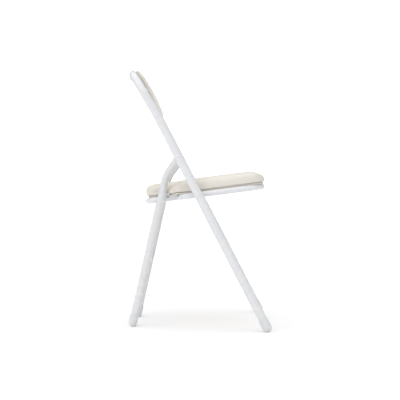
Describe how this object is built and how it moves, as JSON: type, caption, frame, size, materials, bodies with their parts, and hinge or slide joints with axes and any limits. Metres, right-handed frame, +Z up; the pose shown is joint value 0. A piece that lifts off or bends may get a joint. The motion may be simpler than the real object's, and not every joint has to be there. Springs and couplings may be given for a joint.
{
  "type": "folding chair",
  "caption": "Folding chair with a white tubular steel frame, a padded seat and a thin padded back; the seat swings up and the rear legs close flat against the frame.",
  "frame": {"origin": "centre of the footprint on the floor", "axes": "+X to the front of the chair, +Y to the sitter's left, +Z up"},
  "size_m": [0.43, 0.449, 0.7808],
  "materials": {
    "frame_white": "white powder coat, semi-gloss",
    "zinc_steel": "zinc-plated steel",
    "foot_plastic": "light grey moulded polyethylene",
    "nylon": "natural nylon",
    "board_wood": "plywood",
    "pad_leather": "cream faux leather over foam"
  },
  "bodies": {
    "frame": {"front_frame": "frame_white", "lower_back_rail": "frame_white", "rear_pivot_pins": "frame_white", "rear_pivot_washers": "nylon", "seat_pivot_pins": "frame_white", "seat_pivot_washers": "nylon", "back_board": "board_wood", "back_board_nuts": "zinc_steel", "back_screws": "zinc_steel", "back_pad": "pad_leather", "front_foot_left": "foot_plastic", "front_foot_right": "foot_plastic"},
    "rear_legs": {"rear_leg_left": "frame_white", "rear_leg_right": "frame_white", "rear_leg_brace": "frame_white", "rear_pivot_sleeves": "nylon", "rear_leg_studs": "frame_white", "rear_foot_left": "foot_plastic", "rear_foot_right": "foot_plastic"},
    "seat": {"seat_ring": "frame_white", "seat_tabs": "frame_white", "seat_brackets": "frame_white", "seat_board": "board_wood", "seat_board_nuts": "zinc_steel", "seat_screws": "zinc_steel", "seat_pad": "pad_leather"}
  },
  "joints": [
    {"name": "seat_fold", "type": "hinge", "parent": "frame", "child": "seat", "pos_m": [-0.00136, 0, 0.403], "axis": [0, 1, 0], "range_deg": [0, 70]},
    {"name": "rear_leg_fold", "type": "hinge", "parent": "frame", "child": "rear_legs", "pos_m": [-0.0602, 0, 0.5165], "axis": [0, -1, 0], "range_deg": [0, 40]}
  ],
  "couplings": [
    {"joint": "rear_leg_fold", "follows": "seat_fold", "ratio": 0.57143}
  ]
}
